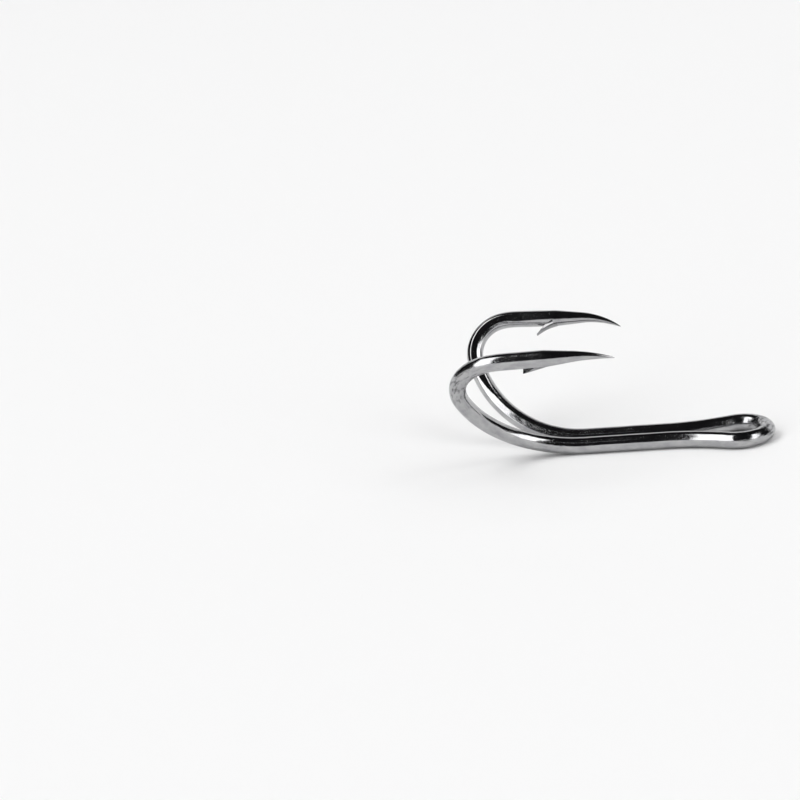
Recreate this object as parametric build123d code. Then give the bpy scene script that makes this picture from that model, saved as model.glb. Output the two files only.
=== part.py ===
from build123d import *
import os
from math import acos, cos, degrees, radians, sin, sqrt

# Double fishing hook: one length of round wire, folded in half at an open pear-shaped eye,
# with a bend, a spear, a needle point and a cut barb at each end.
#
# Frame, in millimetres: the origin is the centre of the eye's hole, +X runs down the shank
# towards the bends, and +Z is up, the side both points rise to.  The eye and the two shank
# wires lie in the XY plane, so the hook rests on them at z = -wire_d / 2.
#
# The wire is written out as the sections a hook maker names.  Neighbours share one round face.

wire_d = 1.6              # hook wire
eye_r = 2.56              # centreline radius of the eye
neck_r = 17.5             # reverse curve that brings the two wires together behind the eye
shank_pitch = 2.48        # between the centrelines of the two shank wires
shank_len = 7.6           # straight run between the neck and the bend
arm_lean = 33.7           # each arm's plane, measured from straight up

rise_r, rise_turn = 11.05, 74.7        # wide lower arc of the bend
ease_r, ease_turn = 8.3, 10.5          # last slight curve, where the bend runs into the spear
spear_len = 3.7                        # straight, from the bend to where the taper starts
taper_run = 2.5                        # straight part of the taper
point_curl_len = 4.1                   # last part of the point, curling in towards the shank
point_tip_r = 0.03
point_fullness = 0.85                  # 1 is a plain cone, less is fuller

# Forging flattens both sides of each bend.  The dies are shallow cones round an axis square to
# the arm's plane: (reach from the wire's centre to the flat, tilt in towards the axis).
crown_dies = ((0.71, 3.0), (0.735, 25.0))
rise_die = (0.738, -11.0)
rise_die_r = 12.5         # curves a little less than the rise, so it runs out at both ends
rise_die_at = 42.0        # turn along the rise where it bites deepest
die_inside, die_outside = 1.2, 2.6     # how far a die reaches to each side of the centreline

notch_start, notch_end = 0.2, 0.95    # the barb's cut, measured back from the start of the taper
notch_depth = 0.5
chisel_clear = 0.2                     # how far the cut's outline stands off the wire
barb_root = -0.25                      # where the sliver leaves the wire
# sliver: way along it, half its width, thickness
sliver_sections = ((0, 0.60, 0.72), (0.5, 0.48, 0.39), (1, 0.33, 0.08))

# The two arms were bent one after the other and differ a little.
# crown: the tight upper arc of the bend.  curl: how far the point turns in.
# barb: its reach back along the spear, its height off the wire, and its dip towards the wire.
ARMS = {
    "left": dict(side=1, crown_r=4.35, crown_turn=93.8, curl=19.8, barb=(2.1, 0.86, 0.0)),
    "right": dict(side=-1, crown_r=3.32, crown_turn=97.6, curl=28.7, barb=(1.75, 0.95, 0.14)),
}

wire_r = wire_d / 2
neck_turn = degrees(acos((shank_pitch / 2 + neck_r) / (eye_r + neck_r)))


def wire_along(*edges):
    """The round wire swept along tangent edges."""
    path = Wire(list(edges))
    return sweep(Plane(origin=path @ 0, z_dir=path % 0) * Circle(wire_r), path=path)


def arm_curves(arm):
    """The arm's centreline in its own plane: x down the shank, y up the arm."""
    rise = JernArc((0, 0), (1, 0), rise_r, rise_turn)
    crown = JernArc(rise @ 1, rise % 1, arm["crown_r"], arm["crown_turn"])
    ease = JernArc(crown @ 1, crown % 1, ease_r, ease_turn)
    spear = Line(ease @ 1, ease @ 1 + (ease % 1) * spear_len)
    taper = Line(spear @ 1, spear @ 1 + (spear % 1) * taper_run)
    curl_r = point_curl_len / radians(arm["curl"])
    curl = JernArc(taper @ 1, taper % 1, curl_r, arm["curl"])
    return rise, crown, ease, spear, taper, curl


def needle_point(taper, curl):
    """Round sections that shrink to the tip, lofted into one solid."""
    length = taper_run + point_curl_len
    stations = [(taper, t) for t in (0, 0.5)] + [(curl, t) for t in (0, 0.3, 0.55, 0.75, 0.9, 1)]
    sections = []
    for edge, t in stations:
        left = length - t * taper_run if edge is taper else (1 - t) * point_curl_len
        radius = point_tip_r + (wire_r - point_tip_r) * (left / length) ** point_fullness
        sections.append(Plane(origin=edge @ t, z_dir=edge % t) * Circle(radius))
    return loft(sections)


def barb_and_notch(arm, seat, forward):
    """A sliver raised off the inner side of the wire, and the chisel cut that raised it.

    seat is on the centreline at the start of the taper; forward is the way to the point.
    """
    reach, height, most_dip = arm["barb"]
    inward = Vector(-forward.Y, forward.X, 0)      # to the shank

    def spot(back, off_centre):
        return seat - forward * back + inward * off_centre

    root = spot(barb_root, wire_r)
    tip = spot(reach, wire_r + height)
    lie = (tip - root).normalized()
    faces = []
    for along, half_w, thick in sliver_sections:
        dip = most_dip * sin(radians(180 * along))
        plane = Plane(origin=root + (tip - root) * along, x_dir=(0, 0, 1), z_dir=lie)
        if plane.y_dir.dot(inward) < 0:
            plane = Plane(origin=plane.origin, x_dir=(0, 0, -1), z_dir=lie)
        shoulder = -dip - (wire_r - sqrt(wire_r**2 - half_w**2))
        floor = min(-dip - thick, shoulder - 0.01)
        top = ThreePointArc((-half_w, shoulder), (0, -dip), (half_w, shoulder))
        sides = Polyline((half_w, shoulder), (half_w, floor), (-half_w, floor), (-half_w, shoulder))
        faces.append(plane * make_face([top, sides]))
    sliver = loft(faces)
    deep = spot(notch_start, wire_r - notch_depth)
    run_out = spot(notch_end, wire_r)
    above = spot(notch_end, wire_r + chisel_clear)
    lip = spot(notch_start, wire_r + chisel_clear)
    notch = extrude(make_face(Polyline(deep, run_out, above, lip, close=True)), amount=wire_d, both=True)
    return sliver, notch


def forging_dies(centre, radius, reach, tilt):
    """The pair of dies, one each side of the arm's plane."""
    slope, flat = sin(radians(tilt)), cos(radians(tilt))
    inner, outer, top = radius - die_inside, radius + die_outside, 2 * wire_d

    def face_at(r):
        return (reach + (r - radius) * slope) / flat

    flat_side = (inner, face_at(inner)), (outer, face_at(outer))
    profile = Polyline(*flat_side, (outer, top), (inner, top), close=True)
    die = revolve(Plane.XZ * make_face(profile), Axis.Z)
    at = Pos(centre[0], centre[1], 0)
    return at * die, at * mirror(die, Plane.XY)


def build_arm(name, arm):
    side = arm["side"]
    lean = radians(arm_lean)
    start = (shank_x1, side * shank_pitch / 2, 0)
    plane = Plane(origin=start, x_dir=(1, 0, 0), z_dir=(0, -cos(lean), side * sin(lean)))
    rise, crown, ease, spear, taper, curl = arm_curves(arm)

    bend = wire_along(rise, crown)
    straight = wire_along(ease, spear)
    point = needle_point(taper, curl)
    sliver, notch = barb_and_notch(arm, taper @ 0, taper % 0)

    crown_at = (crown.arc_center.X, crown.arc_center.Y)
    bite = radians(rise_die_at)
    rise_at = ((rise_r - rise_die_r) * sin(bite), rise_r + (rise_die_r - rise_r) * cos(bite))
    for reach, tilt in crown_dies:
        for die in forging_dies(crown_at, arm["crown_r"], reach, tilt):
            bend -= die
            straight -= die
    for die in forging_dies(rise_at, rise_die_r, *rise_die):
        bend -= die
    straight -= notch
    barb = sliver - straight - point
    barb = max(barb.solids(), key=lambda solid: solid.volume)
    pieces = {"bend": bend, "spear": straight, "point": point, "barb": barb}
    return {f"{name}_{key}": plane.location * piece for key, piece in pieces.items()}


def build_shank(side):
    """Neck and straight shank wire, from the eye to the bend."""
    a = radians(90 - neck_turn)
    start = (eye_r * cos(a), side * eye_r * sin(a))
    way = (cos(radians(neck_turn)), -side * sin(radians(neck_turn)))
    neck = JernArc(start, way, neck_r, side * neck_turn)
    run = Line(neck @ 1, neck @ 1 + Vector(shank_len, 0, 0))
    return wire_along(neck, run)


eye_arc = CenterArc((0, 0), eye_r, 90 - neck_turn, 180 + 2 * neck_turn)
shank_x1 = (eye_r + neck_r) * sin(radians(neck_turn)) + shank_len

nodes = {"eye": wire_along(eye_arc)}
for name, arm in ARMS.items():
    nodes[f"{name}_shank"] = build_shank(arm["side"])
    nodes.update(build_arm(name, arm))

os.makedirs("parts", exist_ok=True)
for name, shape in nodes.items():
    solids = shape.solids() if hasattr(shape, "solids") else [shape]
    assert len(solids) == 1, (name, len(solids))
    export_step(solids[0], f"parts/{name}.step")
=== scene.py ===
from collections import namedtuple
from math import acos, cos, pi, radians, sin, tan

import bmesh
import bpy
import numpy as np
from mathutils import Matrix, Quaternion, Vector


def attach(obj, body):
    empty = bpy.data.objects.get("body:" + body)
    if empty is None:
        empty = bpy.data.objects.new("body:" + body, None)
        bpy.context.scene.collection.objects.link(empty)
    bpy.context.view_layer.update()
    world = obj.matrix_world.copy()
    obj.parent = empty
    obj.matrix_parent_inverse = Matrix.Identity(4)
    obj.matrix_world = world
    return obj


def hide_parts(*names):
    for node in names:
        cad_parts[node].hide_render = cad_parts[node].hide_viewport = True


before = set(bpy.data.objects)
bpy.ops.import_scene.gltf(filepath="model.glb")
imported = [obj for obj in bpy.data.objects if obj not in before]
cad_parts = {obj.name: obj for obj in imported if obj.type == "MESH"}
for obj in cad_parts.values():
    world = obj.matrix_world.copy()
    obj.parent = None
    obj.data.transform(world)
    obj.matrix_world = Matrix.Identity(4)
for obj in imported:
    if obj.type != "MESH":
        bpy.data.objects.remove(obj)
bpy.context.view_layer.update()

# Lengths below are in millimetres and angles in degrees, as on a hook maker's drawing.
MM = 0.001

# ---- the hook's driving sizes, the same as the CAD model's ----
WIRE_R = 0.8
EYE_R = 2.56                  # centreline of the eye
NECK_R = 17.5                 # reverse curve behind the eye
SHANK_PITCH = 2.48            # between the centrelines of the two shank wires
SHANK_LEN = 7.6
ARM_LEAN = 33.7               # of each arm's plane, from straight up
RISE = (11.05, 74.7)          # wide lower arc of the bend: radius, turn
EASE = (8.3, 10.5)            # last slight curve, into the spear
SPEAR_LEN = 3.7
TAPER_RUN = 2.5               # straight part of the taper
POINT_CURL_LEN = 4.1
POINT_TIP_R = 0.03
POINT_FULLNESS = 0.85         # 1 is a plain cone, less is fuller

# The dies that flatten the bend are shallow cones.  Each has a reach, from the wire's centre to
# the flat, and the flat's tilt in towards the cone's axis.
CROWN_DIES = ((0.71, 3.0), (0.735, 25.0))
RISE_DIE = (0.738, -11.0)
RISE_DIE_R = 12.5             # curves a little less than the rise, so it runs out at both ends
RISE_DIE_AT = 42.0            # turn along the rise where it bites deepest

# The barb's cut and its sliver, measured back along the spear from the start of the taper.
NOTCH_START = 0.2             # deepest line of the cut
NOTCH_END = 0.95              # where the cut runs out
NOTCH_DEPTH = 0.5
BARB_ROOT = -0.25             # where the sliver's outer face leaves the wire
BARB_SINK = 0.012             # how far that face starts under the wire's surface
BARB_CUT_FOOT = 0.23          # where its cut face starts,
BARB_FOOT_DEPTH = 0.1         # and how far below the notch
BARB_TIP_THICK = 0.07
BARB_LEAST_THICK = 0.03
BARB_HALF_WIDE = (0.6, 0.36)  # at the root, at the tip
BARB_CUT_TAPER = 0.96         # the cut face is this much narrower than the outer one

# crown is the tight upper arc of the bend: radius, turn.  curl is how far the point turns in.
# barb_tip is how far back the sliver reaches, barb_rise its height off the wire, barb_dip its
# sag, and barb_stain how dark its marks are.
ARMS = {
    "left": dict(
        side=1, crown=(4.35, 93.8), curl=19.8,
        barb_tip=2.1, barb_rise=0.86, barb_dip=0.0, barb_stain=2.2,
    ),
    "right": dict(
        side=-1, crown=(3.32, 97.6), curl=28.7,
        barb_tip=1.75, barb_rise=0.95, barb_dip=0.14, barb_stain=0.45,
    ),
}
NECK_TURN = acos((SHANK_PITCH / 2 + NECK_R) / (EYE_R + NECK_R))
SHANK_X1 = (EYE_R + NECK_R) * sin(NECK_TURN) + SHANK_LEN
POINT_LEN = TAPER_RUN + POINT_CURL_LEN

# ---- how finely the wire is drawn ----
AROUND = 96                   # facets round the wire
STEP = 0.08                   # between rings along it
TIGHT_STEP = STEP * 0.7       # in the eye and the crown
POINT_STEP = STEP * 0.6
CUT_LEN = 1.2                 # end of the spear, around the barb's cut,
CUT_STEP = 0.03               # and its rings
FLAT_CORNER = 0.008           # rounding at the edge of a forged flat
CUT_CORNER = 0.012            # rounding at the edge of the cut
BARB_RINGS = 30
BARB_ROUND, BARB_FLAT = 20, 8     # points over the sliver's outer face and across its cut face

angles = 2 * pi * np.arange(AROUND) / AROUND
round_in, round_across = WIRE_R * np.cos(angles), WIRE_R * np.sin(angles)

Spot = namedtuple("Spot", "x y heading tag s")


# ---- the centreline and the section of half the hook ----

def trace(heading, at, sections):
    """Spots along a plane curve.  A section is its tag, its length, 1 / radius, and its step.

    A spot's s is how far along its own section it is.
    """
    spots = []
    x, y = at
    for tag, length, bend, step in sections:
        count = max(2, int(np.ceil(length / step)))
        for i in range(count + 1):
            s = length * i / count
            turn = bend * s
            if bend == 0:
                px, py = x + s * cos(heading), y + s * sin(heading)
            else:
                px = x + (sin(heading + turn) - sin(heading)) / bend
                py = y - (cos(heading + turn) - cos(heading)) / bend
            spots.append(Spot(px, py, heading + turn, tag, s))
        x, y, heading = px, py, heading + turn
    return spots


def arc(tag, radius_turn, step=STEP):
    radius, turn = radius_turn
    return tag, radius * radians(turn), 1 / radius, step


def flat_spots(side):
    """Half the eye, the neck and the shank, in the plane that they lie in."""
    sections = [
        ("eye", EYE_R * (pi / 2 + NECK_TURN), -side / EYE_R, TIGHT_STEP),
        ("neck", NECK_R * NECK_TURN, side / NECK_R, STEP),
        ("shank", SHANK_LEN, 0.0, STEP),
    ]
    return trace(side * pi / 2, (-EYE_R, 0.0), sections)


def arm_spots(arm):
    """The arm in its own plane: x down the shank, y up the arm."""
    curl_r = POINT_CURL_LEN / radians(arm["curl"])
    sections = [
        arc("rise", RISE),
        arc("crown", arm["crown"], TIGHT_STEP),
        arc("ease", EASE),
        ("spear", SPEAR_LEN - CUT_LEN, 0.0, STEP),
        ("cut", CUT_LEN, 0.0, CUT_STEP),
        ("taper", TAPER_RUN, 0.0, POINT_STEP),
        ("curl", POINT_CURL_LEN, 1 / curl_r, POINT_STEP),
    ]
    return trace(0.0, (0.0, 0.0), sections)


def arm_dies(arm, spots):
    """The place of each die's axis, the die's radius, and its reach and tilt."""
    crown_r, _ = arm["crown"]
    start = next(spot for spot in spots if spot.tag == "crown")
    crown_axis = (start.x - crown_r * sin(start.heading), start.y + crown_r * cos(start.heading))
    bite = radians(RISE_DIE_AT)
    shift = RISE_DIE_R - RISE[0]
    rise_axis = (-shift * sin(bite), RISE[0] + shift * cos(bite))
    return [(crown_axis, crown_r, die) for die in CROWN_DIES] + [(rise_axis, RISE_DIE_R, RISE_DIE)]


def soft_min(value, limit, corner):
    """The smaller of the two, with a rounded corner where they cross."""
    gap = value - limit
    return value - 0.5 * (gap + np.sqrt(gap * gap + corner * corner))


def arm_section(spot, dies):
    """The wire's outline at a spot on the arm: distances in towards the bend's centre, and across."""
    if spot.tag in ("taper", "curl"):
        left = POINT_LEN - (spot.s if spot.tag == "taper" else TAPER_RUN + spot.s)
        radius = POINT_TIP_R + (WIRE_R - POINT_TIP_R) * max(left / POINT_LEN, 0) ** POINT_FULLNESS
        return radius * np.cos(angles), radius * np.sin(angles)
    a, b = round_in, round_across
    for (die_x, die_y), die_r, (reach, tilt) in dies:
        x, y = spot.x - a * sin(spot.heading), spot.y + a * cos(spot.heading)
        out = np.hypot(x - die_x, y - die_y) - die_r
        flat_at = (reach + out * sin(radians(tilt))) / cos(radians(tilt))
        b = np.sign(b) * soft_min(np.abs(b), flat_at, FLAT_CORNER)
    back = CUT_LEN - spot.s
    if spot.tag == "cut" and NOTCH_START <= back <= NOTCH_END:
        wall = WIRE_R - NOTCH_DEPTH * (NOTCH_END - back) / (NOTCH_END - NOTCH_START)
        a = soft_min(a, wall, CUT_CORNER)
    return a, b


def half_wire(arm):
    """Half of the hook, from the far end of the eye to the point, as rings of points."""
    side = arm["side"]
    lean = radians(ARM_LEAN)
    down_shank = np.array((1.0, 0.0, 0.0))
    up = np.array((0.0, side * sin(lean), cos(lean)))
    across = np.array((0.0, -cos(lean), side * sin(lean)))
    rings, centres = [], []

    match = pi / 2 - side * lean      # lines the shank's facets up with the arm's
    lying = flat_spots(side)
    for spot in lying:
        inward = np.array((-sin(spot.heading), cos(spot.heading), 0.0))
        centre = np.array((spot.x, spot.y, 0.0))
        a, b = WIRE_R * np.cos(angles + match), WIRE_R * np.sin(angles + match)
        rings.append(centre + a[:, None] * inward + b[:, None] * np.array((0.0, 0.0, 1.0)))
        centres.append(centre)

    rising = arm_spots(arm)
    dies = arm_dies(arm, rising)
    for spot in rising:
        inward = cos(spot.heading) * up - sin(spot.heading) * down_shank
        centre = np.array((SHANK_X1 + spot.x, side * SHANK_PITCH / 2, 0.0)) + spot.y * up
        a, b = arm_section(spot, dies)
        rings.append(centre + a[:, None] * inward + b[:, None] * across)
        centres.append(centre)

    tags = [spot.tag for spot in lying + rising]
    taper_at = tags.index("taper")
    heading = rising[taper_at - len(lying)].heading
    seat = dict(
        at=centres[taper_at],
        back=-(cos(heading) * down_shank + sin(heading) * up),
        inward=cos(heading) * up - sin(heading) * down_shank,
        across=across,
    )
    steps = np.linalg.norm(np.diff(centres, axis=0), axis=1)
    way = np.concatenate(([0], np.cumsum(steps)))
    return dict(rings=np.array(rings), tags=tags, centres=np.array(centres), way=way, seat=seat)


WAVES = ((3.1, 0.0022), (1.6, 0.0012), (0.9, 0.0006))     # length, height
WAVES_OF_EACH = 6


def smooth_waves(points):
    """A drawn and bent wire isn't a perfect cylinder: shallow waves, about 2 microns high."""
    rng = np.random.default_rng(7)
    height = np.zeros(points.shape[:-1])
    for size, amount in WAVES:
        for _ in range(WAVES_OF_EACH):
            way = rng.normal(size=3)
            way /= np.linalg.norm(way)
            height += amount * np.sin(points @ way * 2 * pi / size + rng.uniform(0, 2 * pi)) / 2
    return height


def grid_normals(grid, centres):
    """Outward normals of a grid of rings."""
    along = np.gradient(grid, axis=0)
    around = np.roll(grid, -1, axis=1) - np.roll(grid, 1, axis=1)
    normals = np.cross(around, along)
    normals /= np.maximum(np.linalg.norm(normals, axis=2, keepdims=True), 1e-12)
    outward = grid - centres[:, None, :]
    flip = np.sign(np.sum(normals * outward, axis=2, keepdims=True))
    flip[flip == 0] = 1
    return normals * flip


# ---- meshes ----

def make_mesh(name, verts, faces, straight, wear):
    """An object whose points carry their place on the unbent wire, and how marked they are."""
    mesh = bpy.data.meshes.new(name)
    mesh.from_pydata([tuple(v * MM) for v in verts], [], faces)
    mesh.polygons.foreach_set("use_smooth", [True] * len(mesh.polygons))
    layer = mesh.attributes.new("straight", "FLOAT_VECTOR", "POINT")
    layer.data.foreach_set("vector", np.asarray(straight, np.float32).reshape(-1))
    layer = mesh.attributes.new("wear", "FLOAT", "POINT")
    layer.data.foreach_set("value", np.asarray(wear, np.float32))
    mesh.update()
    piece = bpy.data.objects.new(name, mesh)
    bpy.context.scene.collection.objects.link(piece)
    return piece


def ring_quads(rows, n):
    """Faces between neighbouring rings of n points each."""
    quads = []
    for i in range(rows - 1):
        for j in range(n):
            k = (j + 1) % n
            quads.append((i * n + j, i * n + k, (i + 1) * n + k, (i + 1) * n + j))
    return quads


def tube_piece(name, grid, normals, straight, wear):
    """A closed length of wire from rings, with a flat face at each end."""
    rows, n = grid.shape[0], grid.shape[1]
    verts = grid.reshape(-1, 3)
    flat_normals = normals.reshape(-1, 3)
    faces = ring_quads(rows, n)
    first = list(range(n))
    last = [(rows - 1) * n + j for j in range(n)]
    quad_way = np.cross(grid[0, 1] - grid[0, 0], grid[1, 0] - grid[0, 0])
    if np.dot(quad_way, normals[0, 0]) > 0:
        first = first[::-1]
    else:
        faces = [quad[::-1] for quad in faces]
        last = last[::-1]
    loops = [flat_normals[v] for quad in faces for v in quad]
    for ring, near in ((first, 1), (last, rows - 2)):
        out = verts[ring].mean(axis=0) - grid[near].mean(axis=0)
        out /= np.linalg.norm(out)
        faces.append(tuple(ring))
        loops.extend([out] * n)
    piece = make_mesh(name, verts, faces, straight.reshape(-1, 3), np.repeat(wear, n))
    piece.data.normals_split_custom_set([tuple(v) for v in loops])
    return piece


def barb_ring(arm, seat, v):
    """The sliver's outline, v of the way to its tip: a round outer face and a flat cut one."""
    root_out = np.array((BARB_ROOT, WIRE_R - BARB_SINK))
    tip_out = np.array((arm["barb_tip"], WIRE_R + arm["barb_rise"]))
    root_cut = np.array((BARB_CUT_FOOT, WIRE_R - NOTCH_DEPTH - BARB_FOOT_DEPTH))
    lie = (tip_out - root_out) / np.linalg.norm(tip_out - root_out)
    square = np.array((lie[1], -lie[0]))      # from the outer face into the sliver
    tip_cut = tip_out + square * BARB_TIP_THICK

    bow = arm["barb_dip"] * sin(pi * v)
    outer = root_out + (tip_out - root_out) * v + square * bow
    inner = root_cut + (tip_cut - root_cut) * v + square * bow
    thick = max(float(np.dot(inner - outer, square)), BARB_LEAST_THICK)
    half_wide = BARB_HALF_WIDE[0] * (1 - v) + BARB_HALF_WIDE[1] * v
    half_angle = min(acos(max(1 - thick / WIRE_R, -1)), np.arcsin(half_wide / WIRE_R))
    ring = []
    for j in range(BARB_ROUND):
        angle = half_angle * (2 * j / (BARB_ROUND - 1) - 1)
        ring.append((outer + square * WIRE_R * (1 - cos(angle)), WIRE_R * sin(angle)))
    cut_depth = max(thick, WIRE_R * (1 - cos(half_angle)) + 0.01)
    for j in range(BARB_FLAT):
        across = WIRE_R * sin(half_angle) * (1 - 2 * (j + 0.5) / BARB_FLAT)
        ring.append((outer + square * cut_depth, across * BARB_CUT_TAPER))
    return [seat["at"] + p[0] * seat["back"] + p[1] * seat["inward"] + q * seat["across"] for p, q in ring]


def barb_piece(name, arm, seat):
    """The sliver lifted by the chisel, more marked towards its tip."""
    grid = np.array([barb_ring(arm, seat, i / BARB_RINGS) for i in range(BARB_RINGS + 1)])
    rows, n = grid.shape[0], grid.shape[1]
    verts = grid.reshape(-1, 3)
    faces = ring_quads(rows, n)
    faces.append(tuple(range(n))[::-1])
    faces.append(tuple((rows - 1) * n + j for j in range(n)))
    stain = arm["barb_stain"] * np.linspace(0.15, 1, rows)
    piece = make_mesh(name, verts, faces, verts, np.repeat(stain, n))
    bm = bmesh.new()
    bm.from_mesh(piece.data)
    bmesh.ops.recalc_face_normals(bm, faces=bm.faces)
    for edge in bm.edges:
        edge.smooth = edge.calc_face_angle(0) < radians(40)
    bm.to_mesh(piece.data)
    bm.free()
    return piece


# ---- materials ----

DENT_DEPTH = 0.012
PALER, DARKER = (1.13, 1.14), (0.87, 0.9)     # blotches in the plating: share of the base, and of its blue
STAIN = (0.3, 0.31)


def black_nickel(name, base, rough, line_bump, pit_bump):
    """Bright black nickel over drawn wire: lines along it, small pits, stains, and uneven gloss."""
    mat = bpy.data.materials.new(name)
    mat.use_nodes = True
    nodes, links = mat.node_tree.nodes, mat.node_tree.links
    shader = nodes["Principled BSDF"]
    shader.inputs["Metallic"].default_value = 1.0

    where = nodes.new("ShaderNodeAttribute")
    where.attribute_name = "straight"
    marked = nodes.new("ShaderNodeAttribute")
    marked.attribute_name = "wear"

    def noise(scale, stretch, detail):
        squeeze = nodes.new("ShaderNodeMapping")
        squeeze.inputs["Scale"].default_value = (stretch, 1.0, 1.0)
        links.new(where.outputs["Vector"], squeeze.inputs["Vector"])
        tex = nodes.new("ShaderNodeTexNoise")
        tex.inputs["Scale"].default_value = scale
        tex.inputs["Detail"].default_value = detail
        tex.inputs["Roughness"].default_value = 0.55
        links.new(squeeze.outputs["Vector"], tex.inputs["Vector"])
        return tex.outputs["Fac"]

    def spread(source, low_in, high_in, low, high):
        span = nodes.new("ShaderNodeMapRange")
        span.inputs["From Min"].default_value = low_in
        span.inputs["From Max"].default_value = high_in
        span.inputs["To Min"].default_value = low
        span.inputs["To Max"].default_value = high
        links.new(source, span.inputs["Value"])
        return span.outputs["Result"]

    def combine(operation, first, second):
        node = nodes.new("ShaderNodeMath")
        node.operation = operation
        links.new(first, node.inputs[0])
        links.new(second, node.inputs[1])
        return node.outputs["Value"]

    def bump(height, depth, under=None):
        node = nodes.new("ShaderNodeBump")
        node.inputs["Strength"].default_value = 1.0
        node.inputs["Distance"].default_value = depth * MM
        links.new(height, node.inputs["Height"])
        if under is not None:
            links.new(under, node.inputs["Normal"])
        return node.outputs["Normal"]

    def shade(share):
        grey, blue = share
        return (base * grey, base * grey, base * blue, 1)

    lines = noise(scale=14.0, stretch=0.05, detail=3.0)
    blotch = noise(scale=1.3, stretch=0.6, detail=4.0)
    pits = spread(noise(scale=9.0, stretch=0.8, detail=2.0), 0.32, 0.44, 0.0, 1.0)
    patches = spread(noise(scale=3.6, stretch=0.35, detail=4.0), 0.50, 0.64, 0.0, 1.0)
    dents = combine("MULTIPLY", patches, marked.outputs["Fac"])

    tint = nodes.new("ShaderNodeMix")
    tint.data_type = "RGBA"
    tint.inputs["A"].default_value = shade(DARKER)
    tint.inputs["B"].default_value = shade(PALER)
    links.new(spread(blotch, 0.35, 0.65, 0.0, 1.0), tint.inputs["Factor"])
    stained = nodes.new("ShaderNodeMix")
    stained.data_type = "RGBA"
    stained.inputs["B"].default_value = shade(STAIN)
    links.new(tint.outputs["Result"], stained.inputs["A"])
    links.new(dents, stained.inputs["Factor"])
    links.new(stained.outputs["Result"], shader.inputs["Base Color"])

    dull = spread(blotch, 0.35, 0.7, rough, rough * 1.8)
    brushed = spread(lines, 0.35, 0.7, 0.0, rough * 0.5)
    links.new(combine("ADD", dull, brushed), shader.inputs["Roughness"])

    worn = bump(dents, DENT_DEPTH)
    pitted = bump(pits, pit_bump, worn)
    links.new(bump(lines, line_bump, pitted), shader.inputs["Normal"])
    return mat


MATERIALS = {
    "hook_wire": black_nickel("black_nickel_wire", 0.43, 0.07, 0.0024, 0.0022),
    "ground_point": black_nickel("black_nickel_point", 0.41, 0.075, 0.0022, 0.0012),
    "cut_barb": black_nickel("black_nickel_cut", 0.30, 0.12, 0.004, 0.003),
}


def finish_piece(piece, node, slot):
    piece.data.materials.append(MATERIALS[slot])
    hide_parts(node)
    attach(piece, "root")


# ---- the wire, made in one run from point to point, then divided into the pieces ----

HANDLING_MARKS = 0.06
EYE_MARKS = 1.1
LEFT_MARKS = dict(tight=0.9, start=0.35)
RIGHT_MARKS = dict(tight=0.08, start=0.28)


def straightened(half, sign):
    """Where each point would be on the unbent wire."""
    rows = [np.stack([np.full(AROUND, sign * way), round_in, round_across], axis=1) for way in half["way"]]
    return np.array(rows)


def tool_marks(half, tight, start):
    """How marked each ring is: in the tight bend, where the bend starts, and round the eye's end."""
    way = half["way"]
    crown = np.mean([w for w, tag in zip(way, half["tags"]) if tag == "crown"])
    rise = min(w for w, tag in zip(way, half["tags"]) if tag == "rise")

    def hump(middle, width):
        return np.exp(-((way - middle) / width) ** 2)

    marks = HANDLING_MARKS + tight * hump(crown, 3.4) + start * hump(rise + 3.0, 1.3)
    return marks + EYE_MARKS * hump(0.0, 3.2)


halves = {name: half_wire(arm) for name, arm in ARMS.items()}
left, right = halves["left"], halves["right"]
turned = np.concatenate(([0], np.arange(AROUND - 1, 0, -1)))

grid = np.concatenate([left["rings"][::-1], right["rings"][1:][:, turned]])
centres = np.concatenate([left["centres"][::-1], right["centres"][1:]])
tags = [("left", t) for t in left["tags"][::-1]] + [("right", t) for t in right["tags"][1:]]
straight = np.concatenate([straightened(left, -1)[::-1], straightened(right, 1)[1:][:, turned]])
wear = np.concatenate([tool_marks(left, **LEFT_MARKS)[::-1], tool_marks(right, **RIGHT_MARKS)[1:]])

# A ring shared by two sections is kept once, so the shading has no seam.
keep = [0] + [i for i in range(1, len(centres)) if np.linalg.norm(centres[i] - centres[i - 1]) > 1e-6]
grid, centres, straight, wear = grid[keep], centres[keep], straight[keep], wear[keep]
tags = [tags[i] for i in keep]
grid = grid + grid_normals(grid, centres) * smooth_waves(grid)[:, :, None]
normals = grid_normals(grid, centres)

PART_OF = {
    "eye": "eye", "neck": "shank", "shank": "shank", "rise": "bend", "crown": "bend",
    "ease": "spear", "spear": "spear", "cut": "spear", "taper": "point", "curl": "point",
}


def node_of(tag):
    name, section = tag
    part = PART_OF[section]
    return "eye" if part == "eye" else f"{name}_{part}"


runs = []
for i, tag in enumerate(tags):
    node = node_of(tag)
    if not runs or runs[-1][0] != node:
        runs.append([node, i, i])
    runs[-1][2] = i
# Each piece reaches to its neighbour's first ring.
for k in range(len(runs) - 1):
    runs[k][2] = runs[k + 1][1]
for node, first, last in runs:
    rings = slice(first, last + 1)
    piece = tube_piece(f"{node}_wire", grid[rings], normals[rings], straight[rings], wear[rings])
    finish_piece(piece, node, "ground_point" if node.endswith("point") else "hook_wire")

for name, arm in ARMS.items():
    finish_piece(barb_piece(f"{name}_barb_sliver", arm, halves[name]["seat"]), f"{name}_barb", "cut_barb")

# ---- floor and glowing cards, in metres ----

FLOOR_Z = -WIRE_R * MM
HALF_FLOOR = 6.0
CARD_REACH = 2.5
CARD_STEPS = 24


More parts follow.
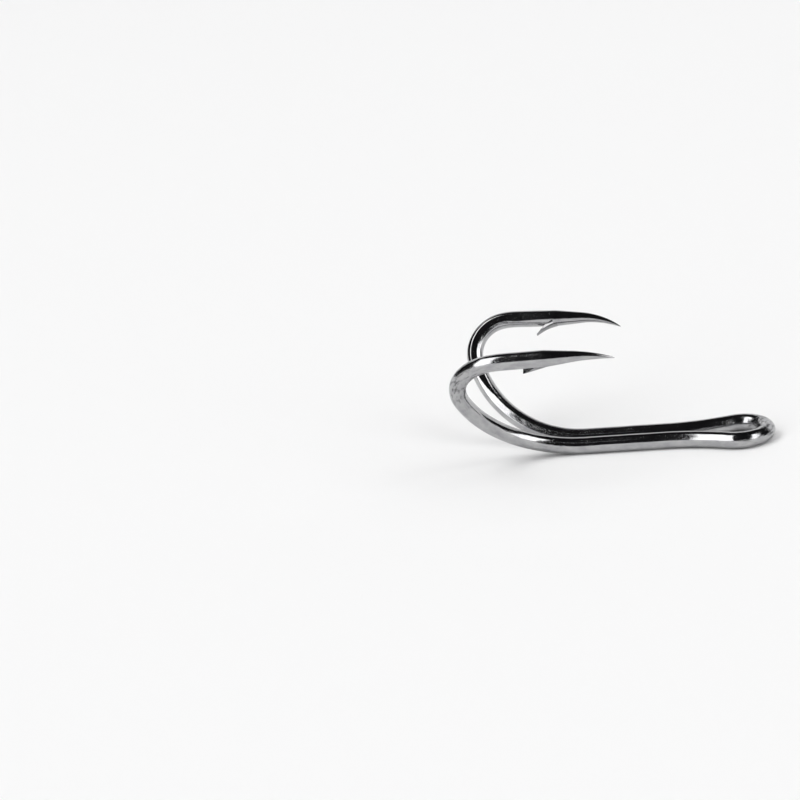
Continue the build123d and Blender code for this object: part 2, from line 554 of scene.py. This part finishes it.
def plain_paint(name, grey):
    mat = bpy.data.materials.new(name)
    mat.use_nodes = True
    nodes, links = mat.node_tree.nodes, mat.node_tree.links
    shader = nodes["Principled BSDF"]
    shader.inputs["Roughness"].default_value = 0.9
    shader.inputs["Specular IOR Level"].default_value = 0.0
    tex = nodes.new("ShaderNodeTexNoise")
    tex.inputs["Scale"].default_value = 6.0
    span = nodes.new("ShaderNodeMapRange")
    span.inputs["To Min"].default_value = grey * 0.995
    span.inputs["To Max"].default_value = grey
    links.new(tex.outputs["Fac"], span.inputs["Value"])
    links.new(span.outputs["Result"], shader.inputs["Base Color"])
    return mat


def stage_piece(name, verts, faces, mat):
    mesh = bpy.data.meshes.new(name)
    mesh.from_pydata(verts, [], faces)
    obj = bpy.data.objects.new(name, mesh)
    bpy.context.scene.collection.objects.link(obj)
    obj.data.materials.append(mat)


def glowing_card(name, azimuth, half_span, top, glow):
    """An upright curved card, lit evenly: the studio's pale sweep, as the metal mirrors it."""
    mat = plain_paint(name, 0.3)
    shader = mat.node_tree.nodes["Principled BSDF"]
    shader.inputs["Emission Color"].default_value = (1, 1, 1, 1)
    shader.inputs["Emission Strength"].default_value = glow
    verts, faces = [], []
    for i in range(CARD_STEPS + 1):
        a = radians(azimuth + half_span * (2 * i / CARD_STEPS - 1))
        x, y = -sin(a) * CARD_REACH, -cos(a) * CARD_REACH
        verts += [(x, y, FLOOR_Z), (x, y, CARD_REACH * tan(radians(top)))]
        if i:
            faces.append((2 * i - 2, 2 * i, 2 * i + 1, 2 * i - 1))
    stage_piece(name, verts, faces, mat)


corners = [(-1, -1), (1, -1), (1, 1), (-1, 1)]
floor_verts = [(x * HALF_FLOOR, y * HALF_FLOOR, FLOOR_Z) for x, y in corners]
stage_piece("studio_floor", floor_verts, [(0, 1, 2, 3)], plain_paint("studio_paper", 0.9))
glowing_card("studio_backdrop", azimuth=7, half_span=53, top=35, glow=0.6)
glowing_card("studio_front_card", azimuth=180, half_span=84, top=8.7, glow=0.8)

# ---- lights ----

BOX_REACH = 3.0
BOX_GLOW = 2.75


def direction(azimuth, elevation):
    """A way out of the hook: azimuth 0 is away from the camera, + to its right."""
    a, e = radians(azimuth), radians(elevation)
    return Vector((-sin(a) * cos(e), -cos(a) * cos(e), sin(e)))


def softbox(name, azimuth, elevation, wide, tall, roll, radiance):
    """An area light, sized by the angle it fills as seen from the hook."""
    lamp = bpy.data.lights.new(name, "AREA")
    lamp.shape = "RECTANGLE"
    lamp.size = 2 * BOX_REACH * tan(radians(wide / 2))
    lamp.size_y = 2 * BOX_REACH * tan(radians(tall / 2))
    lamp.energy = radiance * pi * lamp.size * lamp.size_y
    obj = bpy.data.objects.new(name, lamp)
    way = direction(azimuth, elevation)
    obj.location = way * BOX_REACH
    turn = (-way).to_track_quat("-Z", "Y") @ Quaternion((0, 0, 1), radians(roll))
    obj.rotation_euler = turn.to_euler()
    bpy.context.scene.collection.objects.link(obj)
    return obj


softbox("softbox_right", 118, 34, wide=26, tall=56, roll=-29, radiance=BOX_GLOW)
softbox("softbox_left", -128, 43, wide=30, tall=78, roll=33, radiance=BOX_GLOW)
# A broad overhead fill keeps the shadows faint.  The polished wire doesn't mirror it.
fill = softbox("overhead_fill", 0, 89.9, wide=80, tall=80, roll=0, radiance=0.84)
fill.visible_glossy = False

world = bpy.data.worlds.new("studio")
bpy.context.scene.world = world
world.use_nodes = True
world.node_tree.nodes["Background"].inputs["Color"].default_value = (0.012, 0.012, 0.013, 1)
bpy.context.scene.view_settings.view_transform = "Standard"

# ---- camera ----

CAMERA_AT = Vector((-11.53, 226.48, 81.14)) * MM
CAMERA_WAY = Vector((0.1809, -0.9328, -0.3118))
CAMERA_ROLL = -7.37
camera = bpy.data.cameras.new("camera")
camera.lens = 112.5
camera.sensor_width = 36.0
camera.clip_start = 0.01
camera_obj = bpy.data.objects.new("camera", camera)
camera_obj.location = CAMERA_AT
turn = CAMERA_WAY.to_track_quat("-Z", "Y") @ Quaternion((0, 0, 1), radians(CAMERA_ROLL))
camera_obj.rotation_euler = turn.to_euler()
bpy.context.scene.collection.objects.link(camera_obj)
bpy.context.scene.camera = camera_obj
